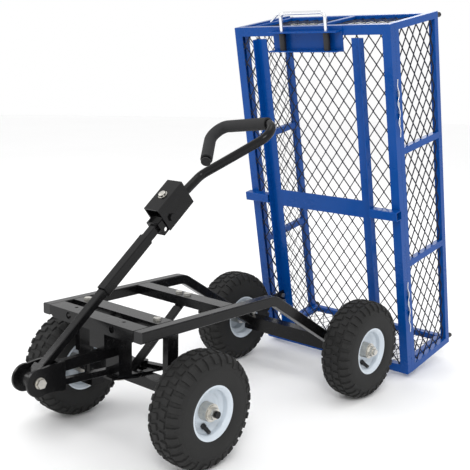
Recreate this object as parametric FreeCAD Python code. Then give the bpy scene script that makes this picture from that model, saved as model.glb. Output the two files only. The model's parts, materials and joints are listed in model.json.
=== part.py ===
"""Four-wheel mesh dump cart: chassis, steering, folding pull handle and tipping bed.

Millimetres, +Z up, +X to the cart's left, -Y forward.  Everything is drawn with Y = 0 at the
rear axle and moved to the row's origin on export.  The bed is drawn lying flat on the chassis
and then tipped back about its pivot.
"""
import FreeCAD
import Part
import math
import os

V = FreeCAD.Vector

# ---- overall sizes ----
TYRE_R = 130.0            # tyre outer radius, and height of both axles
TYRE_W = 84.0             # tyre section width
WHEELBASE = 599.0
TRACK_FRONT = 436.0
TRACK_REAR = 448.0
BED_LENGTH = 976.0
BED_WIDTH = 516.0
BED_WALL = 235.0          # top of the side panels above the bed's underside
DUMP_ANGLE = 78.6         # tip of the bed in the stored pose
CHASSIS_TOP = 315.0
CHASSIS_WIDTH = 336.0

# ---- sections and clearances ----
RAIL = 25.0               # chassis rail, square tube
RAIL_WALL = 2.0
RAIL_FRONT = -723.0
RAIL_BEND = -290.0
RAIL_SLOPE = 31.9
AXLE_R = 8.0
RUN = 0.06                # radial running clearance
GAP = 0.5                 # clearance between pieces that move past each other
PLATE = 3.0

# ---- steering ----
KING_Y = -640.0           # vertical pivot of the tongue
KING_R = 8.0
KNUCKLE_X = 160.0
KNUCKLE_R = 6.0
STEER_ARM = 75.0          # equal arms on tongue and knuckles keep the tie rods parallel
FRONT_Y = -WHEELBASE

# ---- handle ----
HITCH_Y = -878.0
HITCH_Z = 211.2
HITCH_R = 6.0
LOW_TUBE = 16.0           # depth of the handle's lower tube
EAR_R = 30.0
STOP_Z = 242.2           # top of the hitch plate, where the leaning handle rests
HANDLE_ANGLE = 38.8
LOOP_ANGLE = 41.0
LOOP_TWIST = -8.0
LEG_BEND = 34.0           # bend between the grip and the loop's free leg
BOX_AT = 512.0            # middle of the fold joint's box along the handle
BOX_LENGTH = 88.0
TOW_R = 5.0               # towing pin hole through the clevis

# ---- bed ----
PIVOT_Y = 6.1
PIVOT_Z = 150.6
PIVOT_R = 5.0
BED_REST = 0.5            # gap between bed rails and chassis rails when flat
BED_Z = CHASSIS_TOP + BED_REST + PLATE
BED_REAR = 182.0
LATCH_X = 73.5
LATCH_DROP = 15.5
LATCH_R = 5.0
PANEL_TUBE = 18.0
TUBE_WALL = 1.5
SKIRT = 20.0              # upstand of the bed's edge angle
MESH_W = 38.0
MESH_L = 52.0
STRAND = 3.2
MESH_T = 2.0

AXLE_Z = TYRE_R
RIM_R = 61.5
RIM_HALF = 38.0
HALF_CHASSIS = CHASSIS_WIDTH / 2
HALF_BED = BED_WIDTH / 2
BED_FRONT = BED_REAR - BED_LENGTH
TAN_SLOPE = math.tan(math.radians(RAIL_SLOPE))

# row origin: under the middle of the stored object, on the floor
ORIGIN = V(0.0, -225.0, 0.0)

NODES = {}


# ---- drawing helpers ----
def box(x0, x1, y0, y1, z0, z1):
    return Part.makeBox(x1 - x0, y1 - y0, z1 - z0, V(x0, y0, z0))


def cyl(a, b, r):
    a = V(*a)
    d = V(*b) - a
    return Part.makeCylinder(r, d.Length, a, d)


def ring(a, b, ro, ri):
    return cyl(a, b, ro).cut(cyl(a, b, ri))


def fuse(shapes):
    out = shapes[0].fuse(shapes[1:]) if len(shapes) > 1 else shapes[0]
    return out.removeSplitter()


def group(shapes):
    return Part.makeCompound(shapes)


def mirror(shape):
    return shape.mirror(V(0, 0, 0), V(1, 0, 0))


def both(shape):
    return [shape, mirror(shape)]


def prism_yz(points, x0, x1):
    pts = [V(x0, y, z) for y, z in points]
    face = Part.Face(Part.makePolygon(pts + [pts[0]]))
    return face.extrude(V(x1 - x0, 0, 0))


def prism_xy(points, z0, z1):
    pts = [V(x, y, z0) for x, y in points]
    face = Part.Face(Part.makePolygon(pts + [pts[0]]))
    return face.extrude(V(0, 0, z1 - z0))


def hexagon(p, axis, across, thick):
    """A hexagonal head standing on p along axis."""
    axis = V(*axis)
    r = across / math.sqrt(3)
    side = V(0, 0, 1) if abs(axis.z) < 0.9 else V(0, 1, 0)
    side = side.cross(axis).normalize()
    up = axis.cross(side)
    base = V(*p)
    pts = []
    for k in range(6):
        a = math.radians(60 * k)
        pts.append(base + side * (r * math.cos(a)) + up * (r * math.sin(a)))
    return Part.Face(Part.makePolygon(pts + [pts[0]])).extrude(axis * thick)


def bolt(p, axis, r, length, head=None):
    """Hexagon bolt: shank from p along axis, head on the near side."""
    head = head or r * 1.1
    a = V(*axis).normalize()
    q = V(*p)
    shank = Part.makeCylinder(r, length, q, a)
    cap = hexagon(p, (-a.x, -a.y, -a.z), r * 3.2, head)
    return fuse([shank, cap])


def rounded(w, h, r, at, ux, uy):
    """Closed wire of a w by h rectangle with corner radius r about at, in the plane ux, uy."""
    a, b = w / 2, h / 2
    k = r * (1 - math.sqrt(0.5))

    def p(x, y):
        return at + ux * x + uy * y
    e = []
    corners = [(a, b, 1, 1), (-a, b, -1, 1), (-a, -b, -1, -1), (a, -b, 1, -1)]
    ends = []
    for x, y, sx, sy in corners:
        one = p(x, y - sy * r)
        two = p(x - sx * r, y)
        if sx * sy < 0:
            one, two = two, one
        mid = p(x - sx * k, y - sy * k)
        e.append(Part.Arc(one, mid, two).toShape())
        ends.append((one, two))
    for i in range(4):
        e.append(Part.makeLine(ends[i][1], ends[(i + 1) % 4][0]))
    return Part.Wire(Part.__sortEdges__(e))


def rect_bar(a, b, w, h, r=2.0, wall=None, up=V(0, 0, 1)):
    """Straight bar of section w (across) by h (along up), solid or hollow."""
    a, b = V(*a), V(*b)
    d = b - a
    t = V(d).normalize()
    ux = t.cross(up).normalize()
    uy = ux.cross(t)
    out = Part.Face(rounded(w, h, r, a, ux, uy)).extrude(d)
    if wall:
        inner = rounded(w - 2 * wall, h - 2 * wall, max(0.4, r - wall), a, ux, uy)
        out = out.cut(Part.Face(inner).extrude(d))
    return out


def path(points, radii):
    """Wire through points with each inner corner rounded."""
    edges = []
    last = points[0]
    for i in range(1, len(points) - 1):
        p, r = points[i], radii[i - 1]
        a = V(points[i - 1] - p).normalize()
        b = V(points[i + 1] - p).normalize()
        half = a.getAngle(b) / 2
        t = r / math.tan(half)
        one, two = p + a * t, p + b * t
        mid_dir = V(a + b).normalize()
        centre = p + mid_dir * (r / math.sin(half))
        edges.append(Part.makeLine(last, one))
        edges.append(Part.Arc(one, centre - mid_dir * r, two).toShape())
        last = two
    edges.append(Part.makeLine(last, points[-1]))
    return Part.Wire(edges)


def sweep_round(wire, r):
    e = wire.Edges[0]
    p = e.valueAt(e.FirstParameter)
    d = e.tangentAt(e.FirstParameter)
    circle = Part.Wire(Part.makeCircle(r, p, d))
    return wire.makePipeShell([circle], True, False)


def sweep_ring(wire, ro, ri):
    """Tube of outer radius ro and inner radius ri, made piece by piece along wire."""
    e = wire.Edges[0]
    p = e.valueAt(e.FirstParameter)
    d = e.tangentAt(e.FirstParameter)
    loops = [Part.Wire(Part.makeCircle(r, p, d)) for r in (ro, ri)]
    return wire.makePipe(Part.Face(loops)).Solids[0]


def revolve_x(points, centre):
    """Solid of revolution about the X axis through centre; points are (x, radius)."""
    cx, cy, cz = centre
    pts = [V(cx + x, cy, cz + r) for x, r in points]
    face = Part.Face(Part.makePolygon(pts + [pts[0]]))
    return face.revolve(V(cx, cy, cz), V(1, 0, 0), 360)


def diamond_sheet(u0, u1, v0, v1, place):
    """Expanded-metal sheet: a strip of thickness MESH_T with diamond openings.

    place(u, v, w) gives the point for sheet coordinates u across, v along, w through.
    """
    def wire(pts):
        q = [place(u, v, 0.0) for u, v in pts]
        return Part.makePolygon(q + [q[0]])
    outer = wire([(u0, v0), (u1, v0), (u1, v1), (u0, v1)])
    a = (MESH_W - STRAND * 1.25) / 2
    b = (MESH_L - STRAND * 1.7) / 2
    nu = max(1, int((u1 - u0 - 6) // MESH_W))
    nv = max(1, int((v1 - v0 - 6) // MESH_L))
    cu, cv = (u0 + u1) / 2, (v0 + v1) / 2
    holes = []
    for sx, sy, n, m in ((0.0, 0.0, nu, nv), (0.5, 0.5, nu - 1, nv - 1)):
        for i in range(n):
            for j in range(m):
                x = cu + (i - (nu - 1) / 2 + sx) * MESH_W
                y = cv + (j - (nv - 1) / 2 + sy) * MESH_L
                holes.append(wire([(x - a, y), (x, y - b), (x + a, y), (x, y + b)]))
    face = Part.makeFace([outer] + holes, "Part::FaceMakerBullseye")
    return face.extrude(place(0.0, 0.0, MESH_T) - place(0.0, 0.0, 0.0))


def solid_of(shape):
    return shape.Solids[0] if len(shape.Solids) == 1 else shape


# ---- wheels ----
def wheel(name, cx, cy, out):
    """One wheel: tyre, pressed rim with valve, and hub with its two bearings."""
    c = (cx, cy, AXLE_Z)
    w = TYRE_W / 2
    tyre = [(-30, 52.5), (-RIM_HALF + 1, RIM_R - 6), (-RIM_HALF - 1.5, RIM_R + 1.5), (-w, 82),
            (-w + 1.5, 104), (-w + 6, 119), (-w + 13, 126.5), (-14, TYRE_R - 0.6), (0, TYRE_R),
            (14, TYRE_R - 0.6), (w - 13, 126.5), (w - 6, 119), (w - 1.5, 104), (w, 82),
            (RIM_HALF + 1.5, RIM_R + 1.5), (RIM_HALF - 1, RIM_R - 6), (30, 52.5),
            (27, 58.5), (32, 66), (w - 8, 84), (w - 9, 103), (w - 16, 115), (0, 119.5),
            (-w + 16, 115), (-w + 9, 103), (-w + 8, 84), (-32, 66), (-27, 58.5)]
    t = 2.4
    rim = [(-RIM_HALF, RIM_R), (-RIM_HALF, RIM_R - 4), (-RIM_HALF + t, RIM_R - 7),
           (-31, 49.6), (-20, 49.6), (-15, 40), (6, 40),
           (8, 34), (9, 26), (9, 20.2), (9 + t, 20.2), (9 + t, 26), (8 + t, 36),
           (11, 40), (15, 42.0), (20, 49.6), (31, 49.6), (RIM_HALF - t, RIM_R - 7),
           (RIM_HALF, RIM_R - 4), (RIM_HALF, RIM_R), (RIM_HALF - 2, RIM_R), (RIM_HALF - 4, RIM_R - 6),
           (31, 52), (19, 52), (13.5, 42.4), (-13.5, 42.4), (-19, 52), (-31, 52),
           (-RIM_HALF + 4, RIM_R - 6), (-RIM_HALF + 2, RIM_R)]
    rim = [(x * out, r) for x, r in rim]
    shell = revolve_x(rim, c)
    cover = revolve_x(tyre, c).cut(shell)
    NODES[name + "_tyre"] = max(cover.Solids, key=lambda s: s.Volume)
    vx = cx + 24.5 * out
    foot = (vx - 4.0 * out, cy, AXLE_Z - 46.2)
    tip = (vx + 14.0 * out, cy + 2.0, AXLE_Z - 33.0)
    valve = fuse([cyl(foot, tip, 3.6), cyl(tip, (tip[0] + 6 * out, cy + 2.8, tip[2] + 4.4), 2.8)])
    valve = valve.cut(shell)
    NODES[name + "_rim"] = group([shell, max(valve.Solids, key=lambda s: s.Volume)])
    barrel = ring((cx - 31 * out, cy, AXLE_Z), (cx + 33 * out, cy, AXLE_Z), 20.2, 17)
    races = []
    for x in (-31, 21):
        races.append(ring((cx + x * out, cy, AXLE_Z), (cx + (x + 12) * out, cy, AXLE_Z), 17,
                          AXLE_R + RUN))
    NODES[name + "_hub"] = group([barrel] + races)


def nut_set(cx, cy, x0, out):
    """Washer, castle nut and the plain end of the axle's split pin, from x0 outwards."""
    washer = ring((cx + x0 * out, cy, AXLE_Z), (cx + (x0 + 2.2) * out, cy, AXLE_Z), 17.5, AXLE_R)
    nut = hexagon((cx + (x0 + 2.2) * out, cy, AXLE_Z), (out, 0, 0), 24, 9)
    nut = nut.cut(cyl((cx + (x0 - 5) * out, cy, AXLE_Z), (cx + (x0 + 20) * out, cy, AXLE_Z), AXLE_R))
    return [washer, nut]


# ---- chassis ----
def rail(side):
    x = HALF_CHASSIS - RAIL / 2
    zc = CHASSIS_TOP - RAIL / 2
    end = V(x, 2.0, zc - (2.0 - RAIL_BEND) * TAN_SLOPE)
    line = path([V(x, RAIL_FRONT, zc), V(x, RAIL_BEND, zc), end], [55.0])
    p = V(x, RAIL_FRONT, zc)
    outer = line.makePipeShell([rounded(RAIL, RAIL, 3, p, V(1, 0, 0), V(0, 0, 1))], True, False)
    w = RAIL - 2 * RAIL_WALL
    inner = line.makePipeShell([rounded(w, w, 1.2, p, V(1, 0, 0), V(0, 0, 1))], True, False)
    tube = outer.cut(inner)
    back = box(0, 300, -16, 60, 0, 143)
    tube = tube.cut(back)
    return tube if side > 0 else mirror(tube)


def chassis():
    NODES["left_rail"] = rail(1)
    NODES["right_rail"] = rail(-1)
    xi = HALF_CHASSIS - RAIL
    xc = HALF_CHASSIS - RAIL / 2
    zc = CHASSIS_TOP - RAIL / 2
    w = RAIL - 2 * RAIL_WALL
    cap = rect_bar((xc, RAIL_FRONT - 2, zc), (xc, RAIL_FRONT, zc), RAIL, RAIL, 3)
    stem = rect_bar((xc, RAIL_FRONT, zc), (xc, RAIL_FRONT + 14, zc), w, w, 1.2)
    NODES["rail_end_plugs"] = group(both(fuse([cap, stem])))

    top, low = CHASSIS_TOP, CHASSIS_TOP - 28
    y0, y1 = -726.0, -684.0
    web = [(-xi, top), (xi, top), (xi, low + 10), (xi - 14, low), (-xi + 14, low), (-xi, low + 10)]
    pts = [V(x, y0, z) for x, z in web]
    front = Part.Face(Part.makePolygon(pts + [pts[0]])).extrude(V(0, PLATE, 0))
    flange = box(-xi, xi, y0, y1, top - PLATE, top)
    back = box(-xi, xi, y1 - PLATE, y1, low + 8, top)
    channel = fuse([front, flange, back])
    for s in (-1, 1):
        channel = channel.cut(cyl((s * LATCH_X, y0 - 5, BED_Z - LATCH_DROP),
                                  (s * LATCH_X, y0 + 8, BED_Z - LATCH_DROP), 8.2))
        channel = channel.cut(cyl((s * 81, -697, top - 8), (s * 81, -697, top + 2), 4.2))
    NODES["front_cross_channel"] = channel

    def flat_member(y0, y1):
        t = box(-xi, xi, y0, y1, top - 3, top)
        lips = [box(-xi, xi, y0, y0 + 3, top - 22, top - 3), box(-xi, xi, y1 - 3, y1, top - 22, top - 3)]
        return fuse([t] + lips)
    second = flat_member(-657, -613)
    third = flat_member(-459, -419)
    bolts = []
    for x, y in ((-118, -635), (118, -635), (-14, -439), (14, -439)):
        hole = cyl((x, y, top - 30), (x, y, top + 1), 5.0)
        if y < -500:
            second = second.cut(hole)
        else:
            third = third.cut(hole)
        bolts.append(bolt((x, y, top), (0, 0, -1), 5.0, 18, 5))
    NODES["second_cross_member"] = second
    NODES["third_cross_member"] = third

    # front axle beam: flat top bar with a C bracket at each end for the knuckle
    half = 19.0
    ya, yb = FRONT_Y - half - 2, FRONT_Y + half - 2
    beam = [box(-176, 176, ya, yb, 160, 165), box(-130, 130, ya, ya + 4, 142, 160)]
    for s in (-1, 1):
        a, b = sorted((s * 126, s * 131))
        beam.append(box(a, b, ya, yb, 101, 160))
        a, b = sorted((s * 126, s * 176))
        beam.append(box(a, b, ya, yb, 96, 101))
    nose = prism_xy([(-42, ya + 2), (42, ya + 2), (15, KING_Y - 36), (-15, KING_Y - 36)], 160, 165)
    beam = fuse(beam + [nose])
    for s in (-1, 1):
        beam = beam.cut(cyl((s * KNUCKLE_X, FRONT_Y, 90), (s * KNUCKLE_X, FRONT_Y, 170), KNUCKLE_R))
    NODES["front_axle_beam"] = beam.cut(cyl((0, KING_Y, 150), (0, KING_Y, 170), KING_R))

    leg = fuse([box(xi, xi + 5, -642, -600, 165, top - RAIL),
                box(xi + 5, xi + 16, -642, -638, 185, top - RAIL)])
    NODES["front_legs"] = group(both(leg))

    # brace from the third cross member down to the middle of the axle beam
    run, rise = 165.0, top - 15 - 165
    u = V(0, run, rise).normalize()
    foot = V(0, -611, 160)
    brace = rect_bar(foot - u * 10, foot + u * 260, 24, 8, 1.5, None, V(0, -u.z, u.y))
    brace = brace.common(box(-20, 20, -640, -422.2, 165, top - 3))
    lug = box(-13, 13, -456, -422.2, top - 7.5, top - 3)
    third_lip = box(-30, 30, -460, -455.8, top - 30, top - 3)
    brace = fuse([brace, lug]).cut(third_lip)
    for s in (-1, 1):
        brace = brace.cut(cyl((s * 14, -439, top - 40), (s * 14, -439, top), 9.0))
    NODES["centre_brace"] = solid_of(max(brace.Solids, key=lambda q: q.Volume))

    # kingpin bracket: a bent box hung under the front channel
    sides = [prism_yz([(-702, low), (-702, 240), (-614, 240), (-614, top - 22), (-659, top - 22),
                       (-680, top - 3), (-680, low)], a, b) for a, b in ((-25, -21), (21, 25))]
    face = box(-25, 25, -706, -702, 240, low)
    shelf = box(-25, 25, -702, -614, 240, 245)
    bracket = fuse(sides + [face, shelf])
    bracket = bracket.cut(box(-30, 30, -723.0, -684.0, low + 8, top))
    bracket = bracket.cut(box(-30, 30, -657, -613, top - 22, top))
    NODES["kingpin_bracket"] = bracket.cut(cyl((0, KING_Y, 230), (0, KING_Y, 260), KING_R))

    king = bolt((0, KING_Y, 247.4), (0, 0, -1), KING_R, 97, 8)
    king_w = ring((0, KING_Y, 245), (0, KING_Y, 247.4), 14, KING_R)
    nut = hexagon((0, KING_Y, 152), (0, 0, 1), 24, 8).cut(cyl((0, KING_Y, 140), (0, KING_Y, 170), KING_R))
    bolts += [king, king_w, nut]
    for s in (-1, 1):
        x = s * KNUCKLE_X
        bolts.append(bolt((x, FRONT_Y, 165), (0, 0, -1), KNUCKLE_R, 80, 6))
        hexn = hexagon((x, FRONT_Y, 88), (0, 0, 1), 19, 8)
        bolts.append(hexn.cut(cyl((x, FRONT_Y, 80), (x, FRONT_Y, 110), KNUCKLE_R)))
        bolts.append(bolt((s * 179.2, PIVOT_Y, PIVOT_Z), (-s, 0, 0), PIVOT_R, 27.2, 4))
        hexn = hexagon((s * 152, PIVOT_Y, PIVOT_Z), (s, 0, 0), 14, 6)
        bolts.append(hexn.cut(cyl((s * 148, PIVOT_Y, PIVOT_Z), (s * 165, PIVOT_Y, PIVOT_Z), PIVOT_R)))
        bolts.append(ring((s * 174.4, PIVOT_Y, PIVOT_Z), (s * 179.2, PIVOT_Y, PIVOT_Z), 8.5, PIVOT_R))
    NODES["chassis_bolts"] = group(bolts)

    # rear axle beam: angle section with end plates, lugs for the bed pivot, shaft underneath
    z1 = AXLE_Z + AXLE_R + 1 + 4
    ang = [box(-168, 168, -16, 20, z1 - 4, z1), box(-168, 168, -16, -12, 105, z1 - 4)]
    for s in (-1, 1):
        a, b = sorted((s * 158, s * 163))
        ang.append(box(a, b, -12, 20, 112, z1 - 4))
        lug = [(-9, z1), (21, z1), (17, PIVOT_Z + 8), (PIVOT_Y, PIVOT_Z + 12), (-5, PIVOT_Z + 8)]
        a, b = sorted((s * 158, s * 163))
        ang.append(prism_yz(lug, a, b))
    beam = fuse(ang)
    beam = beam.cut(cyl((-200, 0, AXLE_Z), (200, 0, AXLE_Z), AXLE_R))
    beam = beam.cut(cyl((-200, PIVOT_Y, PIVOT_Z), (200, PIVOT_Y, PIVOT_Z), PIVOT_R))
    NODES["rear_axle_beam"] = beam
    end = TRACK_REAR / 2 + 51
    NODES["rear_axle_shaft"] = cyl((-end, 0, AXLE_Z), (end, 0, AXLE_Z), AXLE_R)
    nuts = []
    for s in (-1, 1):
        cx = s * TRACK_REAR / 2
        nuts += nut_set(cx, 0.0, 33.4, s)
        inner = s * (TRACK_REAR / 2 - 31.4)
        nuts.append(ring((s * 168.5, 0, AXLE_Z), (inner, 0, AXLE_Z), 10.0, AXLE_R))
    NODES["rear_axle_nuts"] = group(nuts)


# ---- steering ----
def steering():
    z0 = 165.6
    plate = prism_xy([(-24, KING_Y - 24), (24, KING_Y - 24), (38, KING_Y + 20), (56, KING_Y + 84),
                      (40, KING_Y + 92), (-40, KING_Y + 92), (-56, KING_Y + 84), (-38, KING_Y + 20)],
                     z0, z0 + 4)
    window = prism_xy([(-30, KING_Y + 22), (30, KING_Y + 22), (30, KING_Y + 56), (-30, KING_Y + 56)],
                      z0 - 1, z0 + 5)
    plate = plate.cut(window).cut(cyl((0, KING_Y, 150), (0, KING_Y, 180), KING_R + RUN))
    pin_y = KING_Y + STEER_ARM
    pin = cyl((0, pin_y, z0 - 8.5), (0, pin_y, z0 + 12.5), 5.0)
    heads = [hexagon((0, pin_y, z0 + 9.9), (0, 0, 1), 16, 4.5),
             hexagon((0, pin_y, z0 - 10.4), (0, 0, 1), 16, 4.5)]
    plate = plate.cut(cyl((0, pin_y, 150), (0, pin_y, 190), 5.0))
    NODES["steering_plate"] = group([plate, fuse([pin] + heads)])

    # tongue: swivel block on the kingpin, upper and lower arm, hitch ears
    za, zb = z0 + 4, 239.5
    block = box(-22, 22, KING_Y - 22, KING_Y + 17, za, zb)
    block = block.cut(cyl((0, KING_Y, 150), (0, KING_Y, 260), KING_R + RUN))
    upper = rect_bar((0, KING_Y - 18, 224), (0, -818, 224), 16, 25, 1.5)
    lower = rect_bar((0, KING_Y - 18, 178.5), (0, -818, 189), 16, 14, 1.5)
    front = box(-28, 28, -826, -812, 180, STOP_Z)
    ears = []
    for a, b in ((-28, -22), (22, 28)):
        disc = cyl((a, HITCH_Y, HITCH_Z), (b, HITCH_Y, HITCH_Z), EAR_R)
        arm = prism_yz([(-812, 180), (-812, STOP_Z), (-850, STOP_Z), (HITCH_Y, HITCH_Z + EAR_R - 2),
                        (HITCH_Y, HITCH_Z - EAR_R + 2), (-850, 184)], a, b)
        ears.append(fuse([disc, arm]))
    tongue = fuse([block, upper, lower, front] + ears)
    tongue = tongue.cut(cyl((-50, HITCH_Y, HITCH_Z), (50, HITCH_Y, HITCH_Z), HITCH_R))
    NODES["tongue_frame"] = tongue
    hb = bolt((30.5, HITCH_Y, HITCH_Z), (-1, 0, 0), HITCH_R, 67, 7)
    nut = hexagon((-36, HITCH_Y, HITCH_Z), (1, 0, 0), 20, 8)
    nut = nut.cut(cyl((-50, HITCH_Y, HITCH_Z), (50, HITCH_Y, HITCH_Z), HITCH_R))
    wash = ring((28, HITCH_Y, HITCH_Z), (30.5, HITCH_Y, HITCH_Z), 12, HITCH_R)
    NODES["hitch_bolt"] = group([hb, nut, wash])

    # knuckles, spindles and tie rods
    for s, name in ((1, "left"), (-1, "right")):
        x = s * KNUCKLE_X
        arm_top = z0 + 4 if s > 0 else z0 + 5.6
        arm_low = arm_top - 5.5
        bush = cyl((x, FRONT_Y, 101.5), (x, FRONT_Y, 159.5), 13)
        spin_end = s * (TRACK_FRONT / 2 + 51)
        spindle = cyl((x, FRONT_Y, AXLE_Z), (spin_end, FRONT_Y, AXLE_Z), AXLE_R)
        collar = cyl((x, FRONT_Y, AXLE_Z), (s * (TRACK_FRONT / 2 - 31.4), FRONT_Y, AXLE_Z), 11.5)
        q = FRONT_Y + STEER_ARM
        foot = box(x - 9, x + 9, FRONT_Y, FRONT_Y + 40, 146, 152)
        riser = box(x - 9, x + 9, FRONT_Y + 34, FRONT_Y + 40, 146, arm_top)
        arm = box(x - 9, x + 9, FRONT_Y + 34, q, arm_low, arm_top)
        eye = cyl((x, q, arm_low), (x, q, arm_top), 9)
        if s > 0:
            stud = [cyl((x, q, arm_low), (x, q, arm_top + 11), 4.9),
                    hexagon((x, q, arm_top + 6.4), (0, 0, 1), 15, 4.5)]
        else:
            stud = [cyl((x, q, arm_low - 11.6), (x, q, arm_top), 4.9),
                    hexagon((x, q, arm_low - 11), (0, 0, 1), 15, 4.5)]
        knuckle = fuse([bush, spindle, collar, foot, riser, arm, eye])
        knuckle = knuckle.cut(cyl((x, FRONT_Y, 90), (x, FRONT_Y, 170), KNUCKLE_R + RUN))
        NODES[name + "_knuckle"] = fuse([knuckle] + stud)
        NODES[name + "_spindle_nut"] = group(nut_set(s * TRACK_FRONT / 2, FRONT_Y, 33.4, s))
        rz0, rz1 = (z0 + 4.5, z0 + 9.4) if s > 0 else (z0 - 5.4, z0 - 0.5)
        a, b = V(0, pin_y, 0), V(x, q, 0)
        d = V(b - a).normalize()
        n = V(-d.y, d.x, 0) * 8
        pts = [a + d * 6 + n, b - d * 6 + n, b - d * 6 - n, a + d * 6 - n]
        bar = prism_xy([(p.x, p.y) for p in pts], rz0, rz1)
        rod = fuse([bar, cyl((0, pin_y, rz0), (0, pin_y, rz1), 10), cyl((x, q, rz0), (x, q, rz1), 9)])
        rod = rod.cut(cyl((0, pin_y, 150), (0, pin_y, 190), 5.0 + RUN))
        NODES[name + "_tie_rod"] = rod.cut(cyl((x, q, 150), (x, q, 190), 4.9 + RUN))


# ---- handle ----
def handle():
    b = math.radians(HANDLE_ANGLE)
    u = V(0, math.cos(b), math.sin(b))
    w = V(0, -u.z, u.y)
    h = V(0, HITCH_Y, HITCH_Z)

    def at(x, s, q):
        return V(x, 0, 0) + h + u * s + w * q

    def bar(s0, s1, q, a, c, r, wall=None):
        return rect_bar(tuple(at(0, s0, q)), tuple(at(0, s1, q)), a, c, r, wall, w)

    foot = cyl(tuple(at(-21.5, 0, 0)), tuple(at(21.5, 0, 0)), 17)
    cheek = bar(4, 34, 0, 34, 24, 2)
    low = bar(30, 250, 0, 20, LOW_TUBE, 2, 2)
    sleeve = bar(246, 408, 0, 25, 25, 2.5, 2.4)
    mid = bar(402, 470, 0, 20, 20, 2, 2)
    plug = bar(236, 262, 0, 20.2, LOW_TUBE + 0.2, 1)
    plug2 = bar(396, 412, 0, 20.2, 20.2, 1)
    lower = fuse([foot, cheek, low, sleeve, mid, plug, plug2])
    NODES["lower_handle"] = lower.cut(cyl(tuple(at(-30, 0, 0)), tuple(at(30, 0, 0)), HITCH_R + RUN))

    # fold joint: inner clevis on the lower handle, outer cover on the upper handle
    s0 = BOX_AT - BOX_LENGTH / 2
    s1 = BOX_AT + BOX_LENGTH / 2
    fold = s0 + 14

    def block(x0, x1, a, c, q0, q1):
        pts = [at(0, a, q0), at(0, c, q0), at(0, c, q1), at(0, a, q1)]
        return prism_yz([(p.y, p.z) for p in pts], x0, x1)
    t = 3.0
    inner_x, outer_x = 19.5, 23.5
    q_low, q_top = -22.0, 43.0
    cheeks = [block(-inner_x, -inner_x + t, s0 - 26, fold + 14, q_low + 1, 14),
              block(inner_x - t, inner_x, s0 - 26, fold + 14, q_low + 1, 14)]
    back = block(-inner_x + t, inner_x - t, s0 - 26, s0 - 22, q_low + 1, 14)
    clevis = fuse(cheeks + [back])
    pin = cyl(tuple(at(-40, fold, 0)), tuple(at(40, fold, 0)), 5.0)
    tow = cyl(tuple(at(-40, s0 - 14, -12)), tuple(at(40, s0 - 14, -12)), TOW_R)
    NODES["tow_clevis"] = clevis.cut(pin).cut(tow)
    NODES["lower_handle"] = NODES["lower_handle"].cut(block(-30, 30, s0 - 26, s1, -30, 30))
    fb = bolt(tuple(at(outer_x + 0.6, fold, 0)), (-1, 0, 0), 5.0, 2 * outer_x + 10, 5)
    nut = hexagon(tuple(at(-outer_x - 0.6, fold, 0)), (-1, 0, 0), 16, 6)
    NODES["fold_bolt"] = group([fb, nut.cut(pin)])

    cover = [block(-outer_x, -outer_x + t, s0 - 8, s1, q_low, q_top),
             block(outer_x - t, outer_x, s0 - 8, s1, q_low, q_top),
             block(-outer_x + t, outer_x - t, s0 - 8, s1, q_top - t, q_top),
             block(-outer_x + t, outer_x - t, s1 - t, s1, q_low, q_top - t),
             block(-outer_x + t, outer_x - t, fold + 18, s1 - t, q_low, q_low + t)]
    cover = fuse(cover)
    cover = cover.cut(cyl(tuple(at(-40, fold, 0)), tuple(at(40, fold, 0)), 5.0 + RUN))
    hb = bolt(tuple(at(0, s1 - 48, q_top)), tuple(w * -1), 5.5, 12, 5)
    cover = cover.cut(Part.makeCylinder(5.5, 30, at(0, s1 - 48, q_top + 5), w * -1))

    # D loop of round tube
    a = math.radians(LOOP_ANGLE)
    lu = V(0, math.cos(a), math.sin(a))
    lw = V(0, -lu.z, lu.y)
    f = math.radians(LOOP_TWIST)
    lx = V(1, 0, 0) * math.cos(f) - lw * math.sin(f)
    o = at(0, 628, -7)

    def d(x, s):
        return o + lx * x + lu * s
    r = 11.0
    start = at(0, s1, 0)
    corners = [start, d(0, 0), d(191, 174), d(-97, 174), d(-20, 48)]
    bends = [30.0, 36.0, LEG_BEND]
    tube = sweep_round(path(corners, bends), r)
    hole = sweep_round(path(corners, bends), r - 1.8)
    cover = cover.cut(Part.makeCylinder(r - 1.0, 20, at(0, s1 - 10, 0), u))
    NODES["handle_cover"] = group([cover, hb])
    cap_dir = V(d(-20, 48) - d(-97, 174)).normalize()
    end = d(-20, 48)
    cap = fuse([Part.makeCylinder(r + 1.4, 3.0, end, cap_dir),
                Part.makeCylinder(r - 1.8, 12.0, end - cap_dir * 12.0, cap_dir)])
    NODES["d_handle"] = tube.cut(hole)
    NODES["d_handle_cap"] = cap
    grip_line = path([d(106, 174), d(-97, 174), d(-24, 55)], [LEG_BEND])
    NODES["handle_grip"] = sweep_ring(grip_line, r + 4.2, r + 0.1)


# ---- bed, drawn flat ----
def bed_y(length):
    return BED_REAR - length


def tip(shape):
    out = shape.copy()
    out.rotate(V(0, PIVOT_Y, PIVOT_Z), V(1, 0, 0), -DUMP_ANGLE)
    return out


def panel_frame(x0, x1, l0, l1, q0, q1, bars):
    """Rectangular tube frame standing lengthwise, from l0 to l1 along the bed."""
    t = PANEL_TUBE
    y0, y1 = bed_y(l1), bed_y(l0)
    parts = [box(x0, x1, y0, y1, q0, q0 + t), box(x0, x1, y0, y1, q1 - t, q1),
             box(x0, x1, y0, y0 + t, q0 + t, q1 - t), box(x0, x1, y1 - t, y1, q0 + t, q1 - t)]
    for l in bars:
        parts.append(box(x0 + 2, x1, bed_y(l) - t / 2, bed_y(l) + t / 2, q0 + t, q1 - t))
    w = TUBE_WALL
    hollow = [box(x0 + w, x1 - w, y0 + w, y1 - w, q0 + w, q0 + t - w),
              box(x0 + w, x1 - w, y0 + w, y1 - w, q1 - t + w, q1 - w)]
    return fuse(parts).cut(fuse(hollow))


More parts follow.
